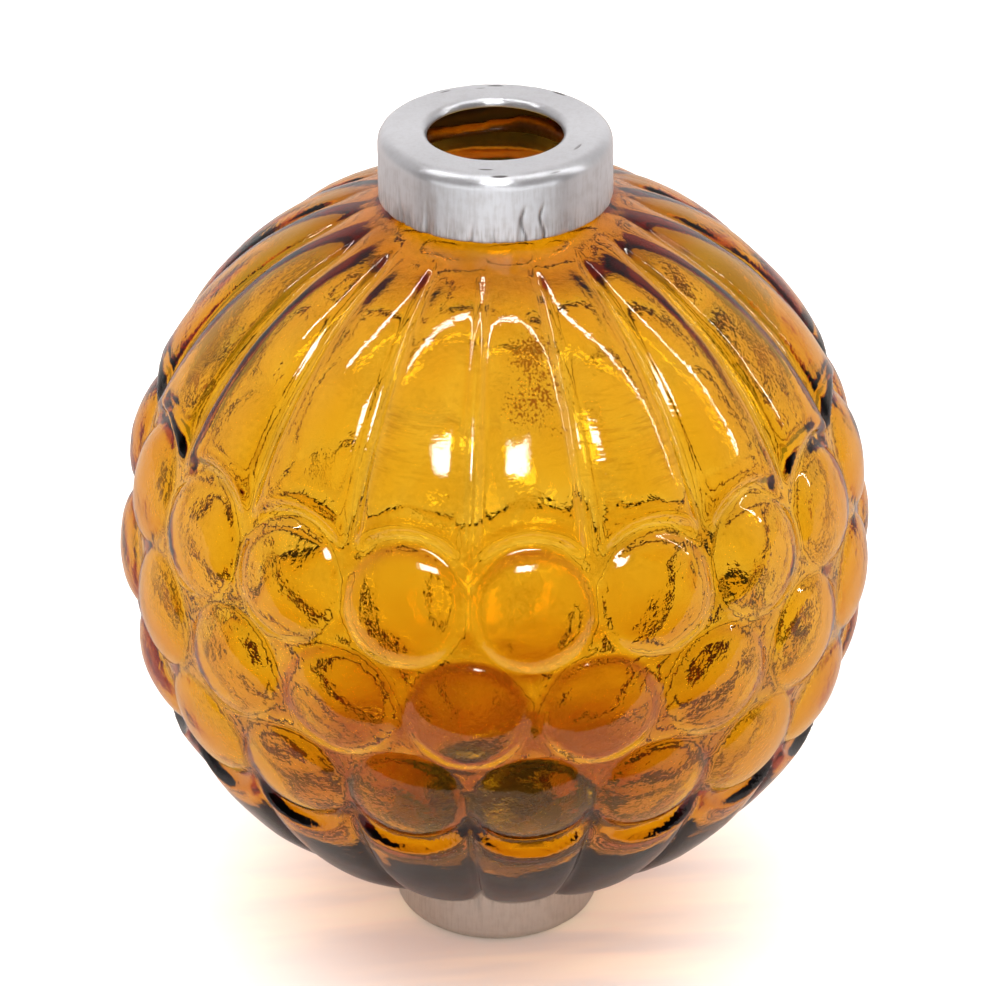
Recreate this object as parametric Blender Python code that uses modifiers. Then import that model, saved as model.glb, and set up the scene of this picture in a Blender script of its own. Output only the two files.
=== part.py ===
"""Lightning rod ball of the ribbed grape pattern: a hollow blown glass ball between two spun caps.

Metres, +Z up. The origin is the middle of the bottom cap's underside, where the ball stands.
The front, -Y, looks at the middle of a rib and of the grape under it.
"""

import math

import bpy
import numpy as np

# The whole ball. A pair holds the value for the upper half, then for the lower half.
REACHES = (0.0668, 0.0659)  # from the middle of the ball out to each cap's flat face
BALL_RADIUS = 0.05715  # over the rib crests and the tops of the grapes, at the equator
SWELLS = (0.019, 0.007)  # the ribs stand further out than a true ball, by this share
SWELL_END_ANGLE = math.radians(63.0)

# The pattern of the glass: angles are seen from the middle of the ball.
RIB_COUNT = 18
PITCH = 2 * math.pi / RIB_COUNT
ROW_ANGLE = math.radians(17.0)  # from the equator to the rows above and below
GRAPE_ANGLE = math.radians(9.2)  # half the width of one grape
GRAPE_FULLNESS = 0.68  # 1 is a parabola, 0.5 half an ellipsoid
STEP_FOOT_ANGLES = (math.radians(10.4), math.radians(9.9))  # a rib's scalloped end rises here
STEP_TOP_ANGLES = (math.radians(12.1), math.radians(11.4))
RELIEF_DEPTH = 0.0020  # from the crests down to the floor between the grapes
RIB_WIDTHS = (0.89, 0.94)  # of the pitch, the rest being the valley's floor
RIB_FULLNESS = 0.42  # 0 is a flat rib with square sides
RELIEF_FULL_ANGLES = (math.radians(25.0), math.radians(46.0))  # beyond, ribs shrink with their width
RELIEF_END_ANGLE = math.radians(71.0)
RELIEF_FADE_ANGLE = math.radians(7.0)

# The glass.
NECK_RADII = (0.0150, 0.0134)
NECK_FILLETS = (0.0035, 0.0025)
BORE_RADII = (0.0120, 0.0108)
BORE_FILLETS = (0.0080, 0.0080)
CAVITY_RADIUS = 0.0538
THICKER = (0.0022, 0.0065)  # that the wall gains from the first angle to the second
THICKER_ANGLES = ((math.radians(45.0), math.radians(70.0)), (math.radians(5.0), math.radians(70.0)))
THICKER_POWER = 3.5
RIM_DROP = 0.0030  # from a cap's flat underside to the neck's rim
RIM_ROUND = 0.0008
WEDGE_STEPS = 48  # of the fine lattice that the pattern is pressed into
BALL_ROWS = 700
CAVITY_ROWS = 60
FILLET_ROWS = 12
BORE_FILLET_ROWS = 8
WEDGE_TRIANGLES = 212  # that half a pitch keeps

# The caps.
CAP_RADII = (0.0172, 0.0160)
CAP_HEIGHTS = (0.0104, 0.0099)
CAP_METAL = 0.0009
CAP_SHOULDER = 0.0020
HOLE_RADIUS = 0.0100
HOLE_CURL = 0.0012
CAP_STEPS = 36
BEND_ROWS = 4

MERGE_DISTANCE = 0.00005


def clear_scene():
    for old in list(bpy.data.objects):
        bpy.data.objects.remove(old, do_unlink=True)


def new_collection(name):
    collection = bpy.data.collections.new(name)
    bpy.context.scene.collection.children.link(collection)
    return collection


def material(name, colour, roughness, metallic=0.0, transmission=0.0):
    made = bpy.data.materials.new(name)
    made.use_nodes = True
    made.diffuse_color = (*colour, 1.0)
    shader = made.node_tree.nodes["Principled BSDF"]
    shader.inputs["Base Color"].default_value = (*colour, 1.0)
    shader.inputs["Roughness"].default_value = roughness
    shader.inputs["Metallic"].default_value = metallic
    shader.inputs["Transmission Weight"].default_value = transmission
    return made


def arc(centre, radius, start, end, count):
    """Points (r, z) on an arc from one angle to the other, both included, measured from +r to +z."""
    angles = np.linspace(start, end, count)
    return [(centre[0] + radius * math.cos(a), centre[1] + radius * math.sin(a)) for a in angles]


def turned(name, profile, angle, steps, collection):
    """A closed profile of (r, z), which runs down its outer side, turned through an angle."""
    mesh = bpy.data.meshes.new(name)
    ring = [(i, (i + 1) % len(profile)) for i in range(len(profile))]
    mesh.from_pydata([(r, 0.0, z) for r, z in profile], ring, [])
    solid = bpy.data.objects.new(name, mesh)
    collection.objects.link(solid)
    screw = solid.modifiers.new("Turn", "SCREW")
    screw.axis = "Z"
    screw.angle = angle
    screw.steps = steps
    screw.render_steps = steps
    screw.use_merge_vertices = True
    screw.merge_threshold = MERGE_DISTANCE
    screw.use_smooth_shade = True
    return solid


def neck_fillet(ball_radius, neck_radius, fillet, rows):
    """The hollow corner from a neck down to the ball, and the ball's angle where it ends."""
    centre_r = neck_radius + fillet
    centre_z = math.sqrt((ball_radius + fillet) ** 2 - centre_r**2)
    tangent = math.atan2(centre_z, centre_r)
    return arc((centre_r, centre_z), fillet, math.pi, math.pi + tangent, rows), tangent


def swelled(latitude, ball_radius, thicker):
    """A point (r, z) of the ball's side, which swells towards both necks.

    The wall's gain in thickness is taken from the radius.
    """
    half = 0 if latitude > 0.0 else 1
    share = smooth_step(abs(latitude), 0.0, SWELL_END_ANGLE)
    start, end = THICKER_ANGLES[half]
    gain = thicker[half] * np.clip((abs(latitude) - start) / (end - start), 0.0, 1.0) ** THICKER_POWER
    radius = ball_radius * (1.0 + SWELLS[half] * share) - gain
    return (radius * math.cos(latitude), radius * math.sin(latitude))


def side_profile(ball_radius, thicker, neck_radii, fillets, rims, ball_rows, fillet_rows):
    """The side of a ball with a neck at each end, from the top downwards, about the ball's middle."""
    shapes = zip(SWELLS, thicker, neck_radii, fillets)
    (upper, upper_tangent), (lower, lower_tangent) = [
        neck_fillet(ball_radius * (1.0 + swell) - gain, neck_radius, fillet, fillet_rows)
        for swell, gain, neck_radius, fillet in shapes
    ]
    latitudes = np.linspace(upper_tangent, -lower_tangent, ball_rows)[1:-1]
    ball = [swelled(latitude, ball_radius, thicker) for latitude in latitudes]
    lower = [(r, -z) for r, z in reversed(lower)]
    return [(neck_radii[0], rims[0])] + upper + ball + lower + [(neck_radii[1], -rims[1])]


def glass_profile():
    """Outer side, lower rim, bore and cavity, upper rim."""
    rims = [reach - CAP_METAL - RIM_DROP for reach in REACHES]
    sides_end = [rim - RIM_ROUND for rim in rims]
    outer = side_profile(
        BALL_RADIUS, (0.0, 0.0), NECK_RADII, NECK_FILLETS, sides_end, BALL_ROWS, FILLET_ROWS
    )
    inner = side_profile(
        CAVITY_RADIUS, THICKER, BORE_RADII, BORE_FILLETS, sides_end, CAVITY_ROWS, BORE_FILLET_ROWS
    )
    lower_rim = [(NECK_RADII[1] - RIM_ROUND, -rims[1]), (BORE_RADII[1] + RIM_ROUND, -rims[1])]
    upper_rim = [(BORE_RADII[0] + RIM_ROUND, rims[0]), (NECK_RADII[0] - RIM_ROUND, rims[0])]
    return outer + lower_rim + inner[::-1] + upper_rim


def smooth_step(value, start, end):
    share = np.clip((value - start) / (end - start), 0.0, 1.0)
    return share * share * (3.0 - 2.0 * share)


def angle_to_grape(latitude, turn, row_latitude, first_turn):
    """Angle from each direction to the nearest grape's middle in one row."""
    away = (turn - first_turn + PITCH / 2) % PITCH - PITCH / 2
    cosine = np.sin(latitude) * math.sin(row_latitude)
    cosine += np.cos(latitude) * math.cos(row_latitude) * np.cos(away)
    return np.arccos(np.clip(cosine, -1.0, 1.0))


def grape_rise(latitude, turn):
    """Height of the three rows of grapes over the floor, from 0 to 1."""
    rise = np.zeros_like(latitude)
    for row_latitude, first_turn in ((ROW_ANGLE, 0.0), (0.0, PITCH / 2), (-ROW_ANGLE, 0.0)):
        share = angle_to_grape(latitude, turn, row_latitude, first_turn) / GRAPE_ANGLE
        rise = np.maximum(rise, np.clip(1.0 - share**2, 0.0, 1.0) ** GRAPE_FULLNESS)
    return rise


def rib_rise(latitude, turn):
    """Height of the ribs over the floor, from 0 to 1: rounded across, scalloped round the grapes."""
    is_upper = latitude > 0.0
    half_width = np.where(is_upper, *RIB_WIDTHS) * PITCH / 2
    across = ((turn + PITCH / 2) % PITCH - PITCH / 2) / half_width
    crown = np.clip(1.0 - across**2, 0.0, 1.0) ** RIB_FULLNESS
    north = np.abs(latitude)
    from_grape = angle_to_grape(north, turn, ROW_ANGLE, 0.0)
    foot = np.where(is_upper, *STEP_FOOT_ANGLES)
    end = smooth_step(from_grape, foot, np.where(is_upper, *STEP_TOP_ANGLES))
    return crown * end * (north > ROW_ANGLE)


def relief_depth(latitude):
    """Depth of the floor below the crests, which fades out at the necks."""
    north = np.abs(latitude)
    full_angle = np.where(latitude > 0.0, *RELIEF_FULL_ANGLES)
    shrink = np.minimum(1.0, np.cos(north) / np.cos(full_angle))
    fade = 1.0 - smooth_step(north, RELIEF_END_ANGLE - RELIEF_FADE_ANGLE, RELIEF_END_ANGLE)
    return RELIEF_DEPTH * shrink * fade


def press_pattern(points):
    """Moves the points of the ball's outer skin inwards, to the ribs and grapes."""
    distance = np.linalg.norm(points, axis=1)
    latitude = np.arcsin(points[:, 2] / distance)
    turn = np.arctan2(points[:, 0], -points[:, 1])
    rise = np.maximum(grape_rise(latitude, turn), rib_rise(latitude, turn))
    on_skin = distance > (BALL_RADIUS + CAVITY_RADIUS) / 2
    depth = np.where(on_skin, relief_depth(latitude) * (1.0 - rise), 0.0)
    return points * ((distance - depth) / distance)[:, None]


def finished_mesh(source):
    """The mesh that an object's modifiers make, with the object itself removed."""
    evaluated = source.evaluated_get(bpy.context.evaluated_depsgraph_get())
    mesh = bpy.data.meshes.new_from_object(evaluated)
    bpy.data.objects.remove(source, do_unlink=True)
    return mesh


def points_of(mesh):
    points = np.empty(len(mesh.vertices) * 3, np.float32)
    mesh.vertices.foreach_get("co", points)
    return points.reshape(-1, 3).astype(np.float64)


def set_points(mesh, points):
    mesh.vertices.foreach_set("co", points.astype(np.float32).ravel())
    mesh.update()


def open_edge_points(mesh):
    """Whether each point is on an edge that has only one face."""
    sides = np.zeros(len(mesh.edges), int)
    edge_of_corner = np.empty(len(mesh.loops), np.int32)
    mesh.loops.foreach_get("edge_index", edge_of_corner)
    np.add.at(sides, edge_of_corner, 1)
    ends = np.empty(len(mesh.edges) * 2, np.int32)
    mesh.edges.foreach_get("vertices", ends)
    is_open = np.zeros(len(mesh.vertices), bool)
    is_open[ends.reshape(-1, 2)[sides == 1]] = True
    return is_open


def flatten_cut_faces(mesh):
    """Puts the wedge's open edges exactly on its two cut planes: mid-rib and mid-valley."""
    points = points_of(mesh)
    radius = np.hypot(points[:, 0], points[:, 1])
    turn = np.arctan2(points[:, 0], -points[:, 1])
    plane = np.where(turn > PITCH / 4, PITCH / 2, 0.0)
    on_plane = np.stack([radius * np.sin(plane), -radius * np.cos(plane), points[:, 2]], axis=1)
    set_points(mesh, np.where(open_edge_points(mesh)[:, None], on_plane, points))


def glass_wedge(collection):
    """Half a pitch of the glass, from mid-rib to mid-valley, with few triangles."""
    blank = turned("wedge_blank", glass_profile(), PITCH / 2, WEDGE_STEPS, collection)
    mesh = finished_mesh(blank)
    x, y, z = points_of(mesh).T
    set_points(mesh, press_pattern(np.stack([y, -x, z], axis=1)))
    wedge = bpy.data.objects.new("wedge", mesh)
    collection.objects.link(wedge)
    thin = wedge.modifiers.new("Thin out", "DECIMATE")
    thin.ratio = WEDGE_TRIANGLES / sum(len(face.vertices) - 2 for face in mesh.polygons)
    thin.use_collapse_triangulate = True
    mesh = finished_mesh(wedge)
    flatten_cut_faces(mesh)
    return mesh


def make_glass_ball(collection):
    ball = bpy.data.objects.new("glass_ball", glass_wedge(collection))
    ball.data.name = "glass_ball"
    ball.data.materials.append(material("amber_glass", (0.80, 0.36, 0.04), 0.02, transmission=1.0))
    collection.objects.link(ball)
    mirror = ball.modifiers.new("Other half of the rib", "MIRROR")
    mirror.merge_threshold = MERGE_DISTANCE
    pitch_turn = bpy.data.objects.new("pitch_turn", None)
    pitch_turn.rotation_euler.z = PITCH
    collection.objects.link(pitch_turn)
    pitch_turn.parent = ball
    around = ball.modifiers.new("All ribs", "ARRAY")
    around.count = RIB_COUNT
    around.use_relative_offset = False
    around.use_object_offset = True
    around.offset_object = pitch_turn
    around.use_merge_vertices = True
    around.use_merge_vertices_cap = True
    around.merge_threshold = MERGE_DISTANCE
    ball.location.z = REACHES[1]
    return ball


def cap_profile(radius, height):
    """A cap about its own rim: hole edge curled inwards, flat top, rounded shoulder and skirt."""
    quarter = math.pi / 2
    shoulder = (radius - CAP_SHOULDER, height - CAP_SHOULDER)
    curl = (HOLE_RADIUS + HOLE_CURL, height - HOLE_CURL)
    outside = arc(curl, HOLE_CURL, 2 * quarter, quarter, BEND_ROWS)
    outside += arc(shoulder, CAP_SHOULDER, quarter, 0.0, BEND_ROWS)
    inside = arc(shoulder, CAP_SHOULDER - CAP_METAL, 0.0, quarter, BEND_ROWS)
    inside += arc(curl, HOLE_CURL - CAP_METAL, quarter, 2 * quarter, BEND_ROWS // 2)
    return outside + [(radius, 0.0), (radius - CAP_METAL, 0.0)] + inside


def make_cap(name, radius, height, collection):
    cap = turned(name, cap_profile(radius, height), 2 * math.pi, CAP_STEPS, collection)
    cap.data.materials.append(material(name + "_aluminium", (0.72, 0.72, 0.73), 0.38, metallic=1.0))
    return cap


def make_caps(collection):
    top = make_cap("top_cap", CAP_RADII[0], CAP_HEIGHTS[0], collection)
    top.location.z = REACHES[1] + REACHES[0] - CAP_HEIGHTS[0]
    bottom = make_cap("bottom_cap", CAP_RADII[1], CAP_HEIGHTS[1], collection)
    bottom.location.z = CAP_HEIGHTS[1]
    bottom.rotation_euler.x = math.pi


def main():
    clear_scene()
    collection = new_collection("lightning_rod_ball")
    make_glass_ball(collection)
    make_caps(collection)


main()
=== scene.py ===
"""Looks of the lightning rod ball: amber glass with ribs and grapes between two aluminium caps.

Metres, +Z up, in the frame of the CAD model: the ball stands on the origin and faces -Y.
"""

import math

import bpy
import numpy as np
from mathutils import Matrix, Vector

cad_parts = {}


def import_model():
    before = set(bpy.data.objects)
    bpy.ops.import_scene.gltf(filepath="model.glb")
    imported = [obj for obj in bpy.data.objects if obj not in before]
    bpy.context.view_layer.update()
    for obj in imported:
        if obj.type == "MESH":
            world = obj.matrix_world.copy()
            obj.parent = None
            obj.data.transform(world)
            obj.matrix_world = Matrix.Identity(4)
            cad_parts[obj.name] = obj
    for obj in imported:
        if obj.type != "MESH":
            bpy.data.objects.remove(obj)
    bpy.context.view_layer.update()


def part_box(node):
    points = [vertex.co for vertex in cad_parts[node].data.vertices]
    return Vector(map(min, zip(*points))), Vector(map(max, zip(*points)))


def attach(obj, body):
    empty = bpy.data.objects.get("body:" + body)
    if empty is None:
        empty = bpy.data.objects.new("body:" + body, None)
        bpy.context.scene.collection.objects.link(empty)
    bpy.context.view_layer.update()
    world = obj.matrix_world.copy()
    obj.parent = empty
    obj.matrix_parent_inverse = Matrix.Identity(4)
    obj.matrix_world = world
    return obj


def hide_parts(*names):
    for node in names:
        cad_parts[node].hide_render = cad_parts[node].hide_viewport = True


# The ball's shape, as in the CAD model. A pair is for the upper half, then the lower half.
REACHES = (0.0668, 0.0659)
BALL_RADIUS = 0.05715
SWELLS = (0.019, 0.007)
SWELL_END_ANGLE = math.radians(63.0)
RIB_COUNT = 18
PITCH = 2 * math.pi / RIB_COUNT
ROW_ANGLE = math.radians(17.0)
GRAPE_ANGLE = math.radians(9.2)
GRAPE_FULLNESS = 0.68
STEP_FOOT_ANGLES = (math.radians(10.4), math.radians(9.9))
STEP_TOP_ANGLES = (math.radians(12.1), math.radians(11.4))
RELIEF_DEPTH = 0.0020
RIB_WIDTHS = (0.89, 0.94)
RIB_FULLNESS = 0.42
RELIEF_FULL_ANGLES = (math.radians(25.0), math.radians(46.0))
RELIEF_END_ANGLE = math.radians(71.0)
RELIEF_FADE_ANGLE = math.radians(7.0)
NECK_RADII = (0.0150, 0.0134)
NECK_FILLETS = (0.0035, 0.0025)
BORE_RADII = (0.0120, 0.0108)
BORE_FILLETS = (0.0080, 0.0080)
CAVITY_RADIUS = 0.0550
THICKER = (0.0022, 0.0065)
THICKER_ANGLES = ((math.radians(45.0), math.radians(70.0)), (math.radians(5.0), math.radians(70.0)))
THICKER_POWER = 3.5
RIM_DROP = 0.0030
RIM_ROUND = 0.0008

# The visible glass: a finer mesh, whose inside follows the pattern too.
OUTER_COLUMNS = 24 * RIB_COUNT
INNER_COLUMNS = OUTER_COLUMNS // 2
BELT_ANGLE = math.radians(31.0)
BELT_ROWS = 108
OUTER_POLAR_ROWS = 22
INNER_ROWS = 78
FILLET_ROWS = 7
NECK_ROWS = 6
INNER_RELIEF = 1.0
INNER_SHIFT = math.radians(2.0)
INNER_SHIFT_ANGLES = (math.radians(15.0), math.radians(24.0))
SEED = 11
WAVE_COUNT = 40
# Waves in the glass: wavelength and height, for the outside and for the inside.
OUTER_WAVES = ((0.011, 0.00004), (0.0045, 0.000012), (0.0022, 0.000004))
INNER_WAVES = ((0.014, 0.00008), (0.0055, 0.000018))
INNER_BLURS = 1
RIM_WAVE = 0.0015
RIM_WAVE_REACH = 0.0035
# Waves round the rims, as on a circle of radius 1.
RIM_WAVES = ((0.9, 0.8), (0.35, 0.3))

# The caps.
CAP_RADII = (0.0172, 0.0160)
CAP_HEIGHTS = (0.0104, 0.0099)
CAP_METAL = 0.0009
CAP_SHOULDER = 0.0020
HOLE_RADIUS = 0.0100
HOLE_CURL = 0.0012
CAP_SEEDS = (7, 10)
CAP_COLUMNS = 540
HEM_ROUND = 0.0003
SKIRT_ROWS = 22
BEND_ROWS = 12
FLAT_ROWS = 10
HEM_ROWS = 5
# Folds in the skirts: widths in radians, heights and sizes as shares.
WRINKLE_COUNT = 70
WRINKLE_WIDTHS = (0.012, 0.035)
WRINKLE_HEIGHTS = (0.3, 1.0)
WRINKLE_SIZES = (-0.4, 1.0)
WRINKLE_LEAN = 0.12
WRINKLE_DEPTH = 0.00020
# How much the folds are darkened by painted shade, by their depth.
WRINKLE_PAINTED_SHADE = 0.5
# Two sharp creases, which wander a little and fade out upwards.
CREASE_TURNS = (math.radians(8.0), math.radians(17.5))
CREASE_WIDTH = math.radians(0.8)
CREASE_DEPTH = 0.00014
CREASE_WANDER = 0.02
CREASE_BENDS = 9.0
CREASE_PHASE = 40.0
CREASE_FADE = (0.25, 0.5)
# Waves in the spun metal, where the hem's dirt starts, and where the shoulder's nicks lie.
CAP_WAVES = ((0.012, 0.00002), (0.004, 0.000006))
HEM_DIRT_FROM = 0.55
NICKS_WITHIN = (0.0045, 0.0030)

# The amber of the glass, by plain absorption.
GLASS_COLOUR = (0.926, 0.795, 0.000, 1.0)
GLASS_DENSITY = 1000.0
GLASS_IOR = 1.5
GLASS_BUMP = 0.000010
# Dirt on the glass: dust at both ends, rust from the rod, smudges, and grime in the grooves.
# A spot is its turn and latitude in degrees and its reach.
DUST = (0.16, 0.11, 0.07, 1.0)
DUST_FROM = 0.028
DUST_FULL = 0.012
TOP_DUST_FROM = 0.108
TOP_DUST_FULL = 0.121
RUST = (0.20, 0.065, 0.015, 1.0)
RUST_SPOTS = ((6.0, 50.0, 0.0100), (2.5, 55.0, 0.0070), (9.0, 42.0, 0.0060), (1.0, 47.0, 0.0070))
SPOT_CORE = 0.2
SMUDGE = (0.25, 0.22, 0.20, 1.0)
SMUDGE_SPOTS = ((18.0, 51.0, 0.0026), (-31.0, 38.0, 0.003), (150.0, 44.0, 0.006))
# Fine flat lines where the glass met the cold mould.
CHILL_SPOTS = ((20.0, 39.0, 0.016), (-25.0, 41.0, 0.010), (-120.0, 42.0, 0.018))
GROOVE_GRIME = (0.50, 0.40, 0.30, 1.0)
# Noise: scale per metre and detail, and the stretch of the rust's runs and of the chill lines.
PATCH_NOISE = (130.0, 1.0)
GRAIN_NOISE = (1100.0, 2.0)
RUN_NOISE = (2700.0, 2.0)
RUN_STRETCH = 0.6
LINE_NOISE = (210.0, 1.0)
LINE_STRETCH = 9.0
# Where each kind of dirt starts and is full, and how strong it gets.
PATCH_SHARE = 0.6
TOP_DUST_SHARE = 0.55
DUST_AT_ENDS = 0.35
DUST_LIMITS = (0.52, 0.80)
THIN_DUST_LIMITS = (0.50, 0.72)
THIN_DUST_SHARE = 0.24
RUST_NEAR, RUST_PATCHES = 0.34, 0.45
RUST_LIMITS = (1.00, 1.20)
RUST_HAZE = 0.16
SMUDGE_NEAR = 0.5
SMUDGE_LIMITS = (0.75, 1.05)
GROOVE_LIMITS = (0.38, 0.62)
CHILL_LIMITS = (0.50, 0.70)
GRIME_SHARE = 0.45
DIRT_ROUGHNESS = 0.22
RIM_ROUGHNESS = 0.45
# Bump heights of the grain outside, of what the inside has more, and of the chill lines.
GRAIN_OUTSIDE = 1.6
GRAIN_MORE_INSIDE = 0.9
CHILL_HEIGHT = 5.0

# Clean metal, dirty metal and the inside; the top cap's inside is painted dark as shade.
TOP_CAP_COLOURS = ((0.64, 0.65, 0.68, 1.0), (0.40, 0.38, 0.37, 1.0), (0.10, 0.08, 0.06, 1.0))
# The bottom cap's colours, its inside too, are tinted warm and lighter as painted amber light from the
# glass.
BOTTOM_CAP_COLOURS = ((0.80, 0.72, 0.64, 1.0), (0.52, 0.43, 0.35, 1.0), (0.60, 0.50, 0.38, 1.0))
# Dark nicks, and the painted shade in the skirt's creases and folds.
NICK_AND_CREASE_SHADE_COLOUR = (0.10, 0.09, 0.09, 1.0)
CAP_BUMP = 0.000012
# Brushed metal, its noise as scale per metre and detail, and where wear, nicks and dirt start.
METALLIC = 0.85
BRUSHED = 0.8
QUARTER_TURN = 0.25
STREAK_NOISE = (2300.0, 4.0)
STREAK_STRETCH = 0.12
CLOUD_NOISE = (700.0, 3.0)
RING_NOISE = (3200.0, 2.0)
NICK_SCALE = 650.0
NICK_RADIUS = 0.003
NICK_LIMITS = (0.20, 0.10)
NICKS_ABOVE = 0.60
STREAK_SHARE = 0.55
WEAR_LIMITS = (0.40, 0.66)
WEAR_ON_TOP, WEAR_MORE_ON_SKIRT = 0.16, 0.16
HEM_LIMITS = (0.42, 0.62)
HEM_SHARE = 0.5
CREASE_LIMITS = (0.25, 0.50)
CREASE_SHARE = 0.8
CAP_ROUGHNESS, WORN_ROUGHNESS = 0.31, 0.16
STREAK_HEIGHT, RING_HEIGHT = 0.7, 0.4

# The paper floor: its shade for the camera, in reflections and through the glass.
PAPER = 0.9
FLOOR_MIRRORED = 0.30
FOOT_MIRRORED = 0.55
FLOOR_IN_GLASS = 0.24
# Light that the glass lets through on to the paper, and the even light seen through the glass.
GLOW_REACH = 0.100
GLOW_TINT = (1.0, 0.92, 0.84, 1.0)
DIM_TINT = (0.90, 0.86, 0.84, 1.0)
GLOW_COLOUR = (1.0, 0.68, 0.32, 1.0)
GLOW_STRENGTH = 0.13
EVEN_COLOUR = (1.0, 0.82, 0.72, 1.0)
EVEN_STRENGTH = 0.70
EVEN_GLOW = 0.10
# Streaks in the glow.
GLOW_STREAK_NOISE = (14.0, 3.0)
GLOW_STREAK_STRETCH = 6.0
GLOW_STREAK_LIMITS = (0.35, 0.65)
GLOW_BETWEEN, GLOW_ON_STREAKS = 0.3, 1.4
PAPER_ROUGHNESS = 0.9
FLOOR_HALF_WIDTH = 30.0
FLOOR_FRONT = -0.125

# The camera, which looks almost at its target.
CAMERA_TARGET = Vector((0.0, 0.0, 0.0635))
CAMERA_DISTANCE = 0.7069
CAMERA_ELEVATION = math.radians(29.908)
CAMERA_AZIMUTH = math.radians(-5.632)
CAMERA_YAW = math.radians(-0.0482)
CAMERA_PITCH = math.radians(0.5872)
CAMERA_ROLL = math.radians(-0.15)
CAMERA_LENS = 166.7
CAMERA_SENSOR = 36.0
FAR_AWAY = 100.0

# The lamp for the caps, and the even sky that lights the paper.
CAP_LAMP_SIZE = (3.0, 0.6)
CAP_LAMP_DISTANCE = 0.8
CAP_LAMP_HEIGHT = -0.1
CAP_LAMP_POWER = 9.0
SKY_EVEN = 0.26
SKY_TOP = 5.0
WHITE = (1.0, 1.0, 1.0, 1.0)
SKY_COLOUR = (1.0, 0.90, 0.86, 1.0)
BACKDROP = 1.4
LAMP_STRENGTH = 26.0
# The room's brightness, by the direction's share to the back (y) and upwards (z).
WALL_BRIGHTNESS = 0.03
WALL_MORE_AT_SIDES = 0.40
WALL_MORE_BEHIND = 0.44
SIDE_LIMITS = (-0.6, 0.4)
BEHIND_LIMITS = (0.60, 0.98)
CEILING_BRIGHTNESS = 0.14
CEILING_MORE_BEHIND = 0.20
CEILING_LIMITS = (-0.3, 0.5)
HIGH_LIMITS = (0.6, 0.95)
# The least brightness through the glass, above and below a height.
IN_GLASS_HIGH = 0.30
IN_GLASS_LOW = 0.55
IN_GLASS_LIMITS = (0.3, 0.0)
# A strip lamp overhead, cut short at the left and narrower at the right, and a window before the
# ball; directions' shares again.
STRIP_PLACE = 0.02
STRIP_HALF_WIDTHS = (0.018, 0.011)
STRIP_NARROWS = (0.1, 0.7)
STRIP_LEFT_END = -0.66
STRIP_LOWEST = 0.3
WINDOW_MIDDLE = (0.02, 0.73)
WINDOW_HALF_SIZE = (0.16, 0.050)
WINDOW_EDGE = (1.3, 0.7)

# Where a mix node has its colours, among its sockets of the same names.
COLOUR_INPUTS = slice(6, 8)
COLOUR_OUTPUT = 2

# Light bounces: light crosses four faces of glass or more, and is reflected between them.
BOUNCES = 24
GLOSSY_BOUNCES = 12


def arc(centre, radius, start, end, count):
    """Points (r, z) on an arc, both ends included, with angles measured from +r to +z."""
    angles = np.linspace(start, end, count)
    return np.stack([centre[0] + radius * np.cos(angles), centre[1] + radius * np.sin(angles)], 1)


def straight(start, end, count=NECK_ROWS):
    return np.linspace(start, end, count)


def smooth_step(value, start, end):
    share = np.clip((value - start) / (end - start), 0.0, 1.0)
    return share * share * (3.0 - 2.0 * share)


def neck_fillet(ball_radius, neck_radius, fillet, rows):
    centre_r = neck_radius + fillet
    centre_z = math.sqrt((ball_radius + fillet) ** 2 - centre_r**2)
    tangent = math.atan2(centre_z, centre_r)
    return arc((centre_r, centre_z), fillet, math.pi, math.pi + tangent, rows), tangent


def swell_at(latitude):
    share = smooth_step(np.abs(latitude), 0.0, SWELL_END_ANGLE)
    return 1.0 + np.where(latitude > 0.0, *SWELLS) * share


def side_profile(ball_radius, thicker, neck_radii, fillets, rims, latitude_rows):
    """Rows (r, z) of the side from the top down, about the ball's middle."""
    shapes = zip(SWELLS, thicker, neck_radii, fillets)
    (upper, upper_tangent), (lower, lower_tangent) = [
        neck_fillet(ball_radius * (1.0 + swell) - extra, neck, fillet, FILLET_ROWS)
        for swell, extra, neck, fillet in shapes
    ]
    latitudes = latitude_rows(upper_tangent, -lower_tangent)[1:-1]
    radius = ball_radius * swell_at(latitudes)
    for extra, side, (start, end) in zip(thicker, (1, -1), THICKER_ANGLES):
        radius = radius - extra * np.clip((side * latitudes - start) / (end - start), 0, 1) ** THICKER_POWER
    ball = np.stack([radius * np.cos(latitudes), radius * np.sin(latitudes)], 1)
    top = straight((neck_radii[0], rims[0]), upper[0])
    bottom = straight(lower[0] * (1, -1), (neck_radii[1], -rims[1]))
    return np.concatenate([top[:-1], upper, ball, lower[::-1] * (1, -1), bottom[1:]])


def outer_latitudes(top, bottom):
    """Close rows across the grapes and the ribs' ends, and wider ones beyond."""
    belt = np.linspace(BELT_ANGLE, -BELT_ANGLE, BELT_ROWS)
    above = np.linspace(top, BELT_ANGLE, OUTER_POLAR_ROWS, endpoint=False)
    below = np.linspace(bottom, -BELT_ANGLE, OUTER_POLAR_ROWS, endpoint=False)[::-1]
    return np.concatenate([above, belt, below])


def inner_latitudes(top, bottom):
    return np.linspace(top, bottom, INNER_ROWS)


def angle_to_grape(latitude, turn, row_latitude, first_turn):
    away = (turn - first_turn + PITCH / 2) % PITCH - PITCH / 2
    cosine = np.sin(latitude) * math.sin(row_latitude)
    cosine += np.cos(latitude) * math.cos(row_latitude) * np.cos(away)
    return np.arccos(np.clip(cosine, -1.0, 1.0))


def grape_rise(latitude, turn):
    rise = np.zeros_like(latitude)
    for row_latitude, first_turn in ((ROW_ANGLE, 0.0), (0.0, PITCH / 2), (-ROW_ANGLE, 0.0)):
        share = angle_to_grape(latitude, turn, row_latitude, first_turn) / GRAPE_ANGLE
        rise = np.maximum(rise, np.clip(1.0 - share**2, 0.0, 1.0) ** GRAPE_FULLNESS)
    return rise


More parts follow.
